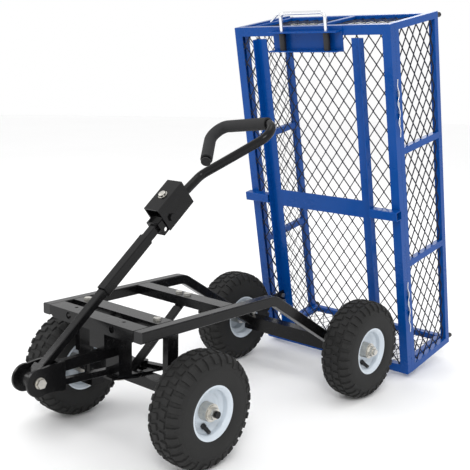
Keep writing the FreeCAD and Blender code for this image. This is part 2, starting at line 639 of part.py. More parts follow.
def gate(l0, q0, q1):
    """Crosswise gate: tube frame with its mesh."""
    t = PANEL_TUBE
    half = HALF_BED - PANEL_TUBE - GAP
    y0, y1 = bed_y(l0 + t), bed_y(l0)
    parts = [box(-half, half, y0, y1, q0, q0 + t), box(-half, half, y0, y1, q1 - t, q1)]
    for a, b in ((-half, -half + t), (half - t, half), (-t / 2, t / 2)):
        parts.append(box(a, b, y0, y1, q0 + t, q1 - t))
    frame = fuse(parts)
    ym = (y0 + y1) / 2 - MESH_T / 2
    pieces = [frame]
    for a, b in ((-half + t, -t / 2), (t / 2, half - t)):
        pieces.append(diamond_sheet(a, b, q0 + t, q1 - t, lambda u, v, w: V(u, ym + w, v)))
    return pieces


def bed():
    z = BED_Z
    hb = HALF_BED
    f, r = BED_FRONT, BED_REAR
    legw = 25.0
    base = box(-hb, hb, f, r, z, z + PLATE).cut(box(-hb + legw, hb - legw, f + legw, r - legw, z - 1, z + 9))
    skirt = box(-hb, hb, f, r, z, z + SKIRT)
    skirt = skirt.cut(box(-hb + PLATE, hb - PLATE, f + PLATE, r - PLATE, z - 1, z + 30))
    frame = fuse([base, skirt])
    upright = [e for e in frame.Edges
               if abs(abs(e.Vertexes[0].X) - hb) < 0.01 and abs(abs(e.Vertexes[-1].X) - hb) < 0.01
               and abs(e.Vertexes[0].Z - e.Vertexes[-1].Z) > 1]
    frame = frame.makeFillet(2.6, upright)
    stub_x = HALF_CHASSIS + 9.0
    NODES["bed_frame"] = frame
    NODES["floor_mesh"] = diamond_sheet(-hb + PLATE + GAP, hb - PLATE - GAP, f + PLATE + GAP,
                                        r - PLATE - GAP, lambda u, v, w: V(u, v, z + PLATE + w))
    x0, x1 = stub_x - 35, stub_x
    ang = fuse([box(x0, x1, bed_y(944), bed_y(52), z - PLATE, z),
                box(x1 - PLATE, x1, bed_y(944), bed_y(52), z - 20, z - PLATE)])
    arm_y = bed_y(165)
    ang = ang.cut(cyl((150, arm_y, z - 12), (200, arm_y, z - 12), 4.0))
    NODES["bed_rails"] = group(both(ang))
    plate = box(-x0, x0, bed_y(506), bed_y(457), z - PLATE, z)
    stub = rect_bar((x1, bed_y(480), z - 12.5), (hb + 5, bed_y(480), z - 12.5), 25, 25, 2, 2)
    NODES["bed_cross_bar"] = group([plate] + both(stub))

    # pivot arms from the bed rails down to the rear pivot
    ax0, ax1 = x1 - PLATE - 4.5, x1 - PLATE
    arm = prism_yz([(arm_y - 14, z - 4), (arm_y + 26, z - 4), (arm_y + 22, z - 40),
                    (PIVOT_Y + 12, PIVOT_Z + 2), (PIVOT_Y - 12, PIVOT_Z + 2), (arm_y - 16, z - 50)],
                   ax0, ax1)
    arm = fuse([arm, cyl((ax0, PIVOT_Y, PIVOT_Z), (ax1, PIVOT_Y, PIVOT_Z), 11)])
    arm = arm.cut(cyl((150, PIVOT_Y, PIVOT_Z), (200, PIVOT_Y, PIVOT_Z), PIVOT_R + RUN))
    arm = arm.cut(cyl((150, arm_y, z - 12), (200, arm_y, z - 12), 4.0))
    arm = arm.cut(cyl((150, arm_y + 20, z - 12), (200, arm_y + 20, z - 12), 4.0))
    NODES["pivot_arms"] = group(both(arm))
    bolts = []
    for s in (-1, 1):
        bolts.append(bolt((s * ax0, arm_y, z - 12), (s, 0, 0), 4.0, 13.5, 5))
        bolts.append(bolt((s * ax0, arm_y + 20, z - 12), (s, 0, 0), 4.0, 4.5, 5))
        nut = hexagon((s * x1, arm_y, z - 12), (s, 0, 0), 13, 4)
        bolts.append(nut.cut(cyl((s * 150, arm_y, z - 12), (s * 200, arm_y, z - 12), 4.0)))
    NODES["bed_bolts"] = group(bolts)

    # latch plate with two lips, sprung bail through them
    lip_a, lip_b = 912.0, 962.0
    plate = [box(-115, 115, bed_y(950.8), bed_y(909), z - PLATE, z),
             box(-115, 115, bed_y(976), bed_y(950.8), z - PLATE, z)]
    for l in (lip_a, lip_b):
        plate.append(box(-115, 115, bed_y(l + PLATE), bed_y(l), z - 31, z - PLATE))
    plate = fuse(plate)
    for s in (-1, 1):
        plate = plate.cut(cyl((s * LATCH_X, bed_y(900), z - LATCH_DROP),
                              (s * LATCH_X, bed_y(980), z - LATCH_DROP), LATCH_R + RUN))
    NODES["latch_plate"] = plate
    sleeves = []
    for s in (-1, 1):
        sleeves.append(ring((s * LATCH_X, bed_y(lip_a + PLATE), z - LATCH_DROP),
                            (s * LATCH_X, bed_y(lip_b), z - LATCH_DROP), 8.8, LATCH_R + RUN))
    NODES["latch_sleeves"] = group(sleeves)
    zz = z - LATCH_DROP
    rod = sweep_round(path([V(-LATCH_X, bed_y(897), zz), V(-LATCH_X, bed_y(1013), zz),
                            V(LATCH_X, bed_y(1013), zz), V(LATCH_X, bed_y(897), zz)],
                           [14.0, 14.0]), LATCH_R)
    washers = []
    for s in (-1, 1):
        a = (s * LATCH_X, bed_y(909.2), zz)
        washers.append(ring(a, (s * LATCH_X, bed_y(911.4), zz), 7.8, LATCH_R))
    lever = sweep_round(path([V(-LATCH_X + 4, bed_y(1012), zz), V(-LATCH_X - 8, bed_y(1012), zz),
                              V(-LATCH_X - 34, bed_y(992), zz)], [9.0]), 3.2)
    NODES["latch_bail"] = group([fuse([rod, lever])] + washers)

    # fold-down side panels on wire hinges
    t = PANEL_TUBE
    q0, q1 = z + SKIRT + GAP, z + BED_WALL
    hx, hz = hb + 2.8, z + SKIRT - 2.0
    pins, tabs = [], []
    for l in (207.0, 763.0):
        y = bed_y(l)
        wire = path([V(hb - 2.0, y - 45, hz), V(hx, y - 45, hz), V(hx, y + 45, hz), V(hb - 2.0, y + 45, hz)],
                    [2.0, 2.0])
        pins.append(sweep_round(wire, 1.5))
        for dy in (-22, 22):
            eye = ring((hx, y + dy - 7, hz), (hx, y + dy + 7, hz), 2.45, 1.5 + RUN)
            tab = box(hb, hb + 1.4, y + dy - 7, y + dy + 7, q0, q0 + 9)
            neck = box(hb + 0.4, hb + 1.8, y + dy - 7, y + dy + 7, hz + 1.0, q0 + 2)
            neck = neck.cut(cyl((hx, y + dy - 8, hz), (hx, y + dy + 8, hz), 1.5 + RUN))
            tabs.append(fuse([eye, tab, neck]))
    for p in pins:
        NODES["bed_frame"] = NODES["bed_frame"].cut(p)
    for p in both(group(pins)):
        for w in p.Solids:
            NODES["bed_frame"] = NODES["bed_frame"].cut(w)
    NODES["hinge_wires"] = group(pins + [mirror(p) for p in pins])
    side = panel_frame(hb - t, hb, 0.0, BED_LENGTH, q0, q1, (326.0, 644.0))
    side = fuse([side] + tabs)
    sheets = []
    ends = (t, 326.0 - t / 2, 326.0 + t / 2, 644.0 - t / 2, 644.0 + t / 2, BED_LENGTH - t)
    for k in (0, 2, 4):
        sheets.append(diamond_sheet(q0 + t, q1 - t, bed_y(ends[k + 1]), bed_y(ends[k]),
                                    lambda u, v, w: V(hb - t / 2 - MESH_T / 2 + w, v, u)))
    # hooked latches at the top corners
    hooks = []
    for l in (12.0, BED_LENGTH - 12.0):
        y = bed_y(l)
        barrel = cyl((hb - t / 2, y, q1), (hb - t / 2, y, q1 + 16), 6.0)
        knob = Part.makeSphere(7.0, V(hb - t / 2, y, q1 + 20))
        hooks.append(fuse([barrel, knob]))
    NODES["left_side_frame"] = side
    NODES["left_side_mesh"] = group(sheets)
    NODES["left_side_latches"] = group(hooks)
    for part in ("frame", "mesh", "latches"):
        NODES["right_side_" + part] = mirror(NODES["left_side_" + part])

    g0 = z + PLATE + MESH_T + GAP
    NODES["front_gate"] = group(gate(BED_LENGTH - PLATE - GAP - t, g0, q1))
    NODES["tailgate"] = group(gate(PLATE + GAP, g0, q1))

    for name in BED_NODES:
        NODES[name] = tip(NODES[name])


BED_NODES = ["bed_frame", "floor_mesh", "bed_rails", "bed_cross_bar", "pivot_arms", "bed_bolts",
             "latch_plate", "latch_sleeves", "latch_bail", "hinge_wires", "left_side_frame",
             "left_side_mesh", "left_side_latches", "right_side_frame", "right_side_mesh",
             "right_side_latches", "front_gate", "tailgate"]


def build():
    for name, x, y in (("front_left", TRACK_FRONT / 2, FRONT_Y), ("front_right", -TRACK_FRONT / 2, FRONT_Y),
                       ("rear_left", TRACK_REAR / 2, 0.0), ("rear_right", -TRACK_REAR / 2, 0.0)):
        wheel(name, x, y, 1 if x > 0 else -1)
    chassis()
    steering()
    handle()
    bed()
    os.makedirs("parts", exist_ok=True)
    for name, shape in NODES.items():
        moved = shape.copy()
        moved.translate(V(0, 0, 0) - ORIGIN)
        moved.exportStep("parts/" + name + ".step")


build()
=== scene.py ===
"""Looks for the four-wheel dump cart: treaded tyres, dished rims, expanded-metal strands,
tube gates, finishes for every part, and a pale studio."""
import json
import math

import bpy
from bpy.props import FloatProperty, FloatVectorProperty, IntProperty, PointerProperty
from mathutils import Matrix, Quaternion, Vector


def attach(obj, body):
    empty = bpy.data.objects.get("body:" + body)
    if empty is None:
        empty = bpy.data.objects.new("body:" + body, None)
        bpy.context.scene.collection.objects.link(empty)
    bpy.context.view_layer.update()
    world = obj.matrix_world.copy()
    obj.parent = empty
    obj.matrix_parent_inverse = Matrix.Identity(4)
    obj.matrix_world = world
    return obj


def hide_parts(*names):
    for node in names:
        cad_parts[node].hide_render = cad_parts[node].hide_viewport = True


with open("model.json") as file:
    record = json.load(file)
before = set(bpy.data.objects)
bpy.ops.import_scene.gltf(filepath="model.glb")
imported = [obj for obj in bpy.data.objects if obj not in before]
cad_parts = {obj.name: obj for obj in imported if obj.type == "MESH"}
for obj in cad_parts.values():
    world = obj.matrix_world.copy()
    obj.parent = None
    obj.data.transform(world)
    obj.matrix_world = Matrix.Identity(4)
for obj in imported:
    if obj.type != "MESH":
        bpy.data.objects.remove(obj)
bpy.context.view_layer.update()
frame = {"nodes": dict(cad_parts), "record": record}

bl_info = {
    "name": "Dump cart",
    "version": (1, 0, 0),
    "blender": (4, 5, 0),
    "location": "3D View > Sidebar > Cart",
    "description": "Builds the finished look of a four-wheel mesh dump cart on its CAD frame",
    "category": "Object",
}

MM = 0.001
X_AXIS = Vector((1, 0, 0))

# bed: its pivot, and the directions across, along towards the latch, and out of the floor
TIP = math.radians(-78.6)
PIVOT = Vector((0, 231.1, 150.6)) * MM
BED_ZERO = Vector((0, 407.0, 318.5)) * MM
BED_TURN = Matrix.Rotation(TIP, 3, "X")
BED_LENGTH = 976 * MM
BED_HALF = 258 * MM
TUBE = 18 * MM
GATE_FOOT = 5.5 * MM
SIDE_FOOT = 20.5 * MM
WALL_TOP = 235 * MM

WHEELS = {
    "front_left": ((218, -374, 130), 1),
    "front_right": ((-218, -374, 130), -1),
    "rear_left": ((224, 225, 130), 1),
    "rear_right": ((-224, 225, 130), -1),
}


def bed_point(x, along, out):
    """A point of the tipped bed, from metres across, from the dump edge, and off the floor."""
    flat = BED_ZERO + Vector((x, -along, out))
    return PIVOT + BED_TURN @ (flat - PIVOT)


# ---- shader expressions ----
class Number:
    """A value socket that adds Math nodes when it is used in an expression."""

    def __init__(self, tree, socket):
        self.tree = tree
        self.socket = socket

    def combine(self, operation, *values):
        node = self.tree.nodes.new("ShaderNodeMath")
        node.operation = operation
        for place, value in zip(node.inputs, values):
            if isinstance(value, Number):
                self.tree.links.new(value.socket, place)
            else:
                place.default_value = value
        return Number(self.tree, node.outputs[0])

    def __add__(self, other):
        return self.combine("ADD", self, other)

    __radd__ = __add__

    def __sub__(self, other):
        return self.combine("SUBTRACT", self, other)

    def __rsub__(self, other):
        return self.combine("SUBTRACT", other, self)

    def __mul__(self, other):
        return self.combine("MULTIPLY", self, other)

    __rmul__ = __mul__


class Finish:
    """One procedural material: a Principled shader and the nodes that feed it."""

    def __init__(self, name, **constants):
        self.material = bpy.data.materials.new(name)
        self.material.use_nodes = True
        self.tree = self.material.node_tree
        self.shader = self.tree.nodes["Principled BSDF"]
        for socket, value in constants.items():
            self.shader.inputs[socket.replace("_", " ")].default_value = value

    def node(self, kind, settings, sockets, output=0):
        """Add a node: settings first, then the values or links of its sockets."""
        made = self.tree.nodes.new(kind)
        for key, value in settings.items():
            setattr(made, key, value)
        for key, value in sockets.items():
            place = made.inputs[key]
            if isinstance(value, Number):
                self.tree.links.new(value.socket, place)
            else:
                place.default_value = value
        return Number(self.tree, made.outputs[output])

    def place(self):
        return self.node("ShaderNodeTexCoord", {}, {}, "Object")

    def stretched(self, scale):
        return self.node("ShaderNodeVectorMath", {"operation": "MULTIPLY"},
                         {0: self.place(), 1: scale})

    def noise(self, scale, detail=2.0, rough=0.5, where=None):
        return self.node("ShaderNodeTexNoise", {},
                         {"Vector": where or self.place(), "Scale": scale, "Detail": detail,
                          "Roughness": rough}, "Fac")

    def cells(self, scale, where=None):
        return self.node("ShaderNodeTexVoronoi", {},
                         {"Vector": where or self.place(), "Scale": scale}, "Distance")

    def between(self, value, low, high, to_low=0.0, to_high=1.0):
        return self.node("ShaderNodeMapRange", {"interpolation_type": "SMOOTHSTEP"},
                         {"Value": value, "From Min": low, "From Max": high,
                          "To Min": to_low, "To Max": to_high})

    def mix(self, amount, first, second):
        return self.node("ShaderNodeMix", {"data_type": "RGBA"},
                         {0: amount, 6: first, 7: second}, 2)

    def feed(self, socket, value):
        self.tree.links.new(value.socket, self.shader.inputs[socket])

    def relief(self, height, distance, strength=1.0):
        self.feed("Normal", self.node("ShaderNodeBump", {},
                                      {"Height": height, "Distance": distance,
                                       "Strength": strength}))


def rgba(colour, gain=1.0):
    return tuple(min(1.0, c * gain) for c in colour[:3]) + (1.0,)


def powder_coat(name, colour, dull, gloss, coat):
    """Baked powder coat: orange-peel ripple, a little dust and faint handling marks."""
    f = Finish(name, Coat_Weight=coat, Coat_Roughness=0.1, Specular_IOR_Level=0.17)
    cloud = f.noise(9.0, 4.0, 0.6)
    dust = f.between(f.noise(60.0, 5.0, 0.65), 0.48, 0.75)
    marks = f.between(f.noise(1.0, 3.0, 0.7, f.stretched((30, 260, 260))), 0.62, 0.72)
    base = f.mix(cloud, rgba(colour, 0.82), rgba(colour, 1.14))
    dusty = tuple(0.95 * c + 0.012 for c in colour[:3]) + (1.0,)
    f.feed("Base Color", f.mix(dust * 0.3, base, dusty))
    f.feed("Roughness", gloss + (dull - gloss) * cloud + dust * 0.08 + marks * 0.1)
    f.relief(f.noise(420.0, 1.0) + f.noise(1400.0, 1.0) * 0.3, 0.00012, 0.5)
    return f.material


def tyre_rubber(name, colour):
    f = Finish(name, Specular_IOR_Level=0.35)
    cloud = f.noise(14.0, 5.0, 0.6)
    chalk = f.between(f.noise(75.0, 6.0, 0.7), 0.5, 0.8)
    base = f.mix(cloud, rgba(colour, 0.75), rgba(colour, 1.2))
    f.feed("Base Color", f.mix(chalk * 0.35, base, rgba(colour, 2.3)))
    f.feed("Roughness", 0.62 + cloud * 0.16 + chalk * 0.1)
    f.relief(f.noise(700.0, 3.0, 0.6) + f.noise(120.0, 2.0) * 0.8, 0.0003, 0.5)
    return f.material


def rim_paint(name, colour):
    f = Finish(name, Coat_Weight=0.45, Coat_Roughness=0.1)
    cloud = f.noise(22.0, 4.0, 0.55)
    grime = f.between(f.noise(90.0, 6.0, 0.7), 0.55, 0.8)
    base = f.mix(cloud, rgba(colour, 0.93), rgba(colour, 1.04))
    f.feed("Base Color", f.mix(grime * 0.3, base, rgba((0.42, 0.43, 0.44))))
    f.feed("Roughness", 0.26 + cloud * 0.12 + grime * 0.2)
    f.relief(f.noise(300.0, 2.0), 0.00015, 0.5)
    return f.material


def zinc(name, colour):
    """Bright zinc plate: small crystalline flecks and a slightly yellow passivation."""
    f = Finish(name, Metallic=1.0)
    fleck = f.cells(900.0)
    cloud = f.noise(130.0, 4.0, 0.6)
    base = f.mix(cloud, rgba(colour, 0.8), rgba((0.78, 0.75, 0.66)))
    f.feed("Base Color", base)
    f.feed("Roughness", 0.26 + cloud * 0.2 + fleck * 0.12)
    f.relief(fleck + cloud, 0.0001, 0.4)
    return f.material


def chrome(name, colour):
    f = Finish(name, Metallic=1.0)
    cloud = f.noise(60.0, 3.0)
    lines = f.noise(1.0, 3.0, 0.6, f.stretched((900, 900, 120)))
    f.feed("Base Color", f.mix(cloud, rgba(colour, 0.94), rgba(colour, 1.06)))
    f.feed("Roughness", 0.07 + cloud * 0.08 + lines * 0.05)
    f.relief(lines, 0.00004, 0.4)
    return f.material


def foam(name, colour):
    """Dense cellular grip: open pores and a dry matt skin."""
    f = Finish(name, Specular_IOR_Level=0.3)
    pores = f.cells(1100.0)
    cloud = f.noise(45.0, 4.0, 0.6)
    f.feed("Base Color", f.mix(cloud, rgba(colour, 0.75), rgba(colour, 1.5)))
    f.feed("Roughness", 0.7 + cloud * 0.15)
    f.relief(pores + cloud * 0.6, 0.0004, 0.7)
    return f.material


def moulded(name, colour):
    f = Finish(name, Specular_IOR_Level=0.4)
    grain = f.noise(800.0, 3.0, 0.6)
    cloud = f.noise(40.0, 3.0)
    f.feed("Base Color", f.mix(cloud, rgba(colour, 0.8), rgba(colour, 1.3)))
    f.feed("Roughness", 0.42 + cloud * 0.1 + grain * 0.08)
    f.relief(grain, 0.0002, 0.5)
    return f.material


def studio_floor(name, colour):
    f = Finish(name, Specular_IOR_Level=0.2)
    cloud = f.noise(1.3, 3.0)
    f.feed("Base Color", f.mix(cloud, rgba(colour, 0.985), rgba(colour, 1.01)))
    f.feed("Roughness", 0.72 + cloud * 0.08)
    return f.material


# ---- mesh helpers ----
def piece(name, verts, faces, material, body, smooth=35.0):
    """Make an object from points in metres, smooth it, and let it ride on its body."""
    mesh = bpy.data.meshes.new(name)
    mesh.from_pydata([tuple(v) for v in verts], [], faces)
    mesh.validate()
    mesh.update()
    mesh.materials.append(material)
    if smooth:
        mesh.polygons.foreach_set("use_smooth", [True] * len(mesh.polygons))
        mesh.set_sharp_from_angle(angle=math.radians(smooth))
    made = bpy.data.objects.new(name, mesh)
    bpy.context.scene.collection.objects.link(made)
    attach(made, body)
    return made


def soften(made, width, segments=2, angle=30.0):
    bevel = made.modifiers.new("edges", "BEVEL")
    bevel.width = width
    bevel.segments = segments
    bevel.limit_method = "ANGLE"
    bevel.angle_limit = math.radians(angle)
    bevel.harden_normals = False
    return made


class Solid:
    """Collects points and faces of several closed shapes for one piece."""

    def __init__(self):
        self.verts = []
        self.faces = []

    def add(self, verts, faces):
        start = len(self.verts)
        self.verts.extend(verts)
        self.faces.extend([tuple(i + start for i in face) for face in faces])

    def bar(self, place, low, high):
        """A straight bar between two corners, given in the coordinates of place."""
        corners = [place(x, y, z) for x in (low[0], high[0]) for y in (low[1], high[1])
                   for z in (low[2], high[2])]
        self.add(corners, [(0, 1, 3, 2), (4, 6, 7, 5), (0, 4, 5, 1), (2, 3, 7, 6),
                           (0, 2, 6, 4), (1, 5, 7, 3)])

    def ribbon(self, points, across, through, width, thick):
        """A flat strip along points, width across and thick through."""
        rings = []
        for p in points:
            a, t = across * (width / 2), through * (thick / 2)
            rings.append([p - a - t, p + a - t, p + a + t, p - a + t])
        verts = [v for ring in rings for v in ring]
        faces = [(3, 2, 1, 0)]
        for i in range(len(rings) - 1):
            for k in range(4):
                m = (k + 1) % 4
                faces.append((4 * i + k, 4 * i + m, 4 * i + 4 + m, 4 * i + 4 + k))
        last = 4 * (len(rings) - 1)
        faces.append((last, last + 1, last + 2, last + 3))
        self.add(verts, faces)

    def tube(self, points, radius, sides=12, tip=None):
        """A round rod along points; tip is not used."""
        rings = []
        side = None
        for i, p in enumerate(points):
            before = points[max(i - 1, 0)]
            after = points[min(i + 1, len(points) - 1)]
            ahead = (after - before).normalized()
            if side is None:
                side = ahead.orthogonal().normalized()
            side = (side - ahead * side.dot(ahead)).normalized()
            other = ahead.cross(side)
            rings.append([p + (side * math.cos(a) + other * math.sin(a)) * radius
                          for a in [2 * math.pi * k / sides for k in range(sides)]])
        verts = [v for ring in rings for v in ring]
        faces = [tuple(reversed(range(sides)))]
        for i in range(len(rings) - 1):
            for k in range(sides):
                m = (k + 1) % sides
                faces.append((sides * i + k, sides * i + m, sides * (i + 1) + m, sides * (i + 1) + k))
        last = sides * (len(rings) - 1)
        faces.append(tuple(range(last, last + sides)))
        self.add(verts, faces)


def lathe(profile, centre, steps):
    """Turn a closed profile of (x, radius) in millimetres about the X axis through centre."""
    verts, faces = [], []
    n = len(profile)
    for i in range(steps):
        a = 2 * math.pi * i / steps
        for x, r in profile:
            verts.append(centre + Vector((x, r * math.cos(a), r * math.sin(a))) * MM)
    for i in range(steps):
        j = (i + 1) % steps
        for k in range(n):
            m = (k + 1) % n
            faces.append((i * n + k, i * n + m, j * n + m, j * n + k))
    return verts, faces


# ---- tyres and rims, in millimetres ----
TYRE_HALF = 42.0
TREAD_TOP = 129.9         # no block stands past this radius
TURNS = 144               # steps around a tyre
RIM_TURNS = 120
CROWN = [(-42.0, 84), (-41.4, 100), (-38.5, 112.5), (-32, 121), (-23, 124.9), (-12, 125.9),
         (0, 126.2), (12, 125.9), (23, 124.9), (32, 121), (38.5, 112.5), (41.4, 100), (42.0, 84)]


def crown_at(s):
    """Point and outward normal of the crown, with s from -1 at one sidewall to 1 at the other."""
    t = (s + 1) / 2 * (len(CROWN) - 1)
    i = min(int(t), len(CROWN) - 2)
    f = t - i
    (x0, r0), (x1, r1) = CROWN[i], CROWN[i + 1]
    run = Vector((x1 - x0, r1 - r0, 0)).normalized()
    return x0 + (x1 - x0) * f, r0 + (r1 - r0) * f, Vector((-run.y, run.x, 0))


def tread_block(solid, centre, corners, height):
    """A raised block: corners are (turn in radians, crown place) and it stands height proud."""
    cut = 4
    rows = []
    (t0, s0), (t1, s1), (t2, s2), (t3, s3) = corners
    mid_t = sum(c[0] for c in corners) / 4
    mid_s = sum(c[1] for c in corners) / 4
    for lift, shrink in ((-1.2, 1.0), (height * 0.75, 0.93), (height, 0.84)):
        layer = []
        edge = []
        for (ta, sa), (tb, sb) in (((t0, s0), (t1, s1)), ((t1, s1), (t2, s2)),
                                   ((t2, s2), (t3, s3)), ((t3, s3), (t0, s0))):
            for k in range(cut):
                f = k / cut
                edge.append((ta + (tb - ta) * f, sa + (sb - sa) * f))
        for t, s in edge:
            t = mid_t + (t - mid_t) * shrink
            s = mid_s + (s - mid_s) * shrink
            x, r, n = crown_at(s)
            x, r = x + n.x * lift, min(r + n.y * lift, TREAD_TOP)
            x = max(-TYRE_HALF, min(TYRE_HALF, x))
            layer.append(centre + Vector((x, r * math.cos(t), r * math.sin(t))) * MM)
        rows.append(layer)
    n = 4 * cut
    verts = [v for layer in rows for v in layer]
    faces = [tuple(range(n))]
    for i in range(len(rows) - 1):
        for k in range(n):
            m = (k + 1) % n
            faces.append((i * n + k, (i + 1) * n + k, (i + 1) * n + m, i * n + m))
    x, r, up = crown_at(mid_s)
    r = min(r + up.y * height, TREAD_TOP)
    x = max(-TYRE_HALF, min(TYRE_HALF, x + up.x * height))
    verts.append(centre + Vector((x, r * math.cos(mid_t), r * math.sin(mid_t))) * MM)
    top = 2 * n
    for k in range(n):
        faces.append((top + k, 3 * n, top + (k + 1) % n))
    solid.add(verts, faces)


def tyre_piece(name, centre, material, settings):
    """The carcass with its bead seats, two staggered rows of tread a side, and sidewall rings."""
    inner = [(42.0, 84), (41.6, 78), (41.2, 71), (40.2, 66), (39.0, 63.2), (36.6, 60.4), (36.6, 56.0),
             (31.5, 52.3), (27, 58.5), (32, 66), (33.6, 84), (33, 103), (26, 115), (0, 119.5),
             (-26, 115), (-33, 103), (-33.6, 84), (-32, 66), (-27, 58.5), (-31.5, 52.3),
             (-36.6, 56.0), (-36.6, 60.4), (-39.0, 63.2), (-40.2, 66), (-41.2, 71), (-41.6, 78)]
    profile = CROWN + inner[1:]
    solid = Solid()
    solid.add(*lathe(profile, centre, TURNS))
    count = settings.tread_blocks
    step = 2 * math.pi / count
    height = settings.tread_depth / MM
    for i in range(count):
        t = i * step
        for side in (-1, 1):
            shift = 0.25 * step * side
            a = t + shift
            # shoulder lug, alternately long and short
            reach = 0.80 if i % 2 else 0.70
            lug = [(a - 0.34 * step, side * 0.30), (a + 0.30 * step, side * 0.34),
                   (a + 0.34 * step, side * reach), (a - 0.30 * step, side * reach)]
            tread_block(solid, centre, lug, height)
            # inner rows, stepped against the lugs
            b = a + 0.5 * step
            block = [(b - 0.36 * step, side * 0.05), (b + 0.24 * step, side * 0.03),
                     (b + 0.40 * step, side * 0.26), (b - 0.24 * step, side * 0.28)]
            tread_block(solid, centre, block, height)
    for side in (-1, 1):
        for radius, x, bulge in ((98.0, 41.3, 0.5), (73.0, 41.0, 0.4)):
            ring = [(side * (x - 1), radius - 1.2), (side * (x + bulge), radius),
                    (side * (x - 1), radius + 1.2)]
            solid.add(*lathe(ring, centre, TURNS))
    body = name.replace("_tread", "") + "_wheel"
    return piece(name, solid.verts, solid.faces, material, body, 38.0)


RIM = [(-38, 61.5), (-38, 58.4), (-37, 56.4), (-35.2, 54.6), (-31, 49.6), (-20, 49.6), (-15, 41.5),
       (-13, 40), (5, 40), (7, 37), (8.4, 32), (9, 26), (9, 20.4), (11.4, 20.4), (11.4, 25.6), (10.6, 31),
       (10.4, 35), (12.0, 39.4), (15.2, 42.4), (20, 49.0), (24, 49.6), (31, 50.2), (34.8, 54.0),
       (37, 56.4), (38, 58.4), (38, 61.5), (36.4, 61.5), (34.4, 57), (31, 52), (19, 52), (13.5, 42.4),
       (-13.5, 42.4), (-19, 52), (-31, 52), (-34.4, 57), (-36.4, 61.5)]


def smooth_profile(points, parts):
    """Round a closed profile with a Catmull-Rom curve through its points."""
    out = []
    n = len(points)
    for i in range(n):
        p0, p1, p2, p3 = (Vector(points[(i + k) % n]) for k in (-1, 0, 1, 2))
        for j in range(parts):
            t = j / parts
            q = 0.5 * ((2 * p1) + (p2 - p0) * t + (2 * p0 - 5 * p1 + 4 * p2 - p3) * t * t
                       + (3 * p1 - p0 - 3 * p2 + p3) * t ** 3)
            q = p1.lerp(p2, t) * 0.45 + q * 0.55
            out.append((max(-38, min(38, q.x)), min(61.5, q.y)))
    return out


def rim_piece(name, centre, side, material):
    profile = [(x * side, r) for x, r in smooth_profile(RIM, 3)]
    verts, faces = lathe(profile, centre, RIM_TURNS)
    return piece(name, verts, faces, material, name.replace("_dish", "") + "_wheel", 50.0)


def valve_piece(name, centre, side, material):
    """Rubber valve stem with a ribbed cap, leaning out of the dish."""
    foot = centre + Vector((11 * side, -6, -33)) * MM
    head = centre + Vector((35 * side, -9, -42)) * MM
    solid = Solid()
    reach = head - foot
    solid.tube([foot, foot + reach * 0.25], 6.4 * MM, 20)
    solid.tube([foot + reach * 0.2, foot + reach * 0.3, foot + reach * 0.62], 5.0 * MM, 20)
    solid.tube([foot + reach * 0.6, foot + reach * 0.97], 4.8 * MM, 8)
    solid.tube([foot + reach * 0.6, foot + reach], 4.0 * MM, 16)
    made = piece(name, solid.verts, solid.faces, material, name.replace("_valve", "") + "_wheel",
                 40.0)
    return soften(made, 0.0005)


# ---- expanded metal ----
def strands(solid, place, width, height, settings, cell_u, cell_v):
    """Fill a rectangle with expanded-metal strands, in the coordinates of place(u, v, w)."""
    columns = max(2, round(width / (cell_u / 2)))
    pitch = width / columns
    rows = max(2, round(height / (cell_v / 2)))
    rise = height / rows
    thick = settings.strand_width
    swing = pitch / 2 - thick * 0.35
    bond = thick * 0.8
    across = (place(1, 0, 0) - place(0, 0, 0)).normalized()
    through = (place(0, 0, 1) - place(0, 0, 0)).normalized()
    for i in range(columns + 1):
        u = i * pitch
        points = []
        for j in range(rows + 1):
            way = 1 if (i + j) % 2 else -1
            x = min(max(u + way * swing, thick * 0.3), width - thick * 0.3)
            depth = way * settings.strand_width * 0.22
            for v in (j * rise - bond / 2, j * rise + bond / 2):
                points.append(place(x, min(max(v, 0.0), height), depth))
        lean = (across + through * 0.45).normalized()
        solid.ribbon(points, lean, through, thick, settings.strand_width * 0.62)


def floor_place(u, v, w):
    return bed_point(-BED_HALF + 0.0035 + u, 0.0035 + v, 0.0040 + w)


def wall_place(side, start):
    def place(u, v, w):
        return bed_point(side * (BED_HALF - TUBE / 2 + w), start + v, SIDE_FOOT + TUBE + u)
    return place


def gate_place(along):
    def place(x, out, w):
        return bed_point(x, along + w, out)
    return place


# ---- clip wires and bolt cap ----
CLIP_MIDDLES = (0.207, 0.763)
CLIP_HALF = 0.075
CLIP_STAND_OFF = 0.0062
CLIP_HEIGHT = 0.012
CLIP_WAVE = 0.0042
CLIP_WAVES = 3.0
CLIP_RADIUS = 0.0013
HITCH = Vector((0, -653.0, 211.2)) * MM
HANDLE_SLOPE = math.radians(38.8)
CAP_ALONG = 0.508          # from the hitch, along the handle
CAP_OUT = 0.0431           # off the handle's centre line
CAP_OUTLINE = ((11.5, 0.0), (11.5, 1.2), (9.2, 1.6), (8.6, 5.4), (7.4, 6.2), (0.001, 6.3))
CAP_TURNS = 48


def clip_wires(side, label):
    """Two wavy wires on one lower edge of the bed, flat at their ends."""
    solid = Solid()
    steps = 96
    for middle in CLIP_MIDDLES:
        line = []
        for i in range(steps + 1):
            t = i / steps
            fade = min(1.0, 6.0 * t, 6.0 * (1.0 - t))
            wave = CLIP_WAVE * fade * math.sin(CLIP_WAVES * 2 * math.pi * t)
            line.append(bed_point(side * (BED_HALF + CLIP_STAND_OFF), middle + CLIP_HALF * (2 * t - 1),
                                  CLIP_HEIGHT + wave))
        solid.tube(line, CLIP_RADIUS, 10)
    piece(label + "_clip_wires", solid.verts, solid.faces, finish("chrome_bail"), "bed",
          60.0)


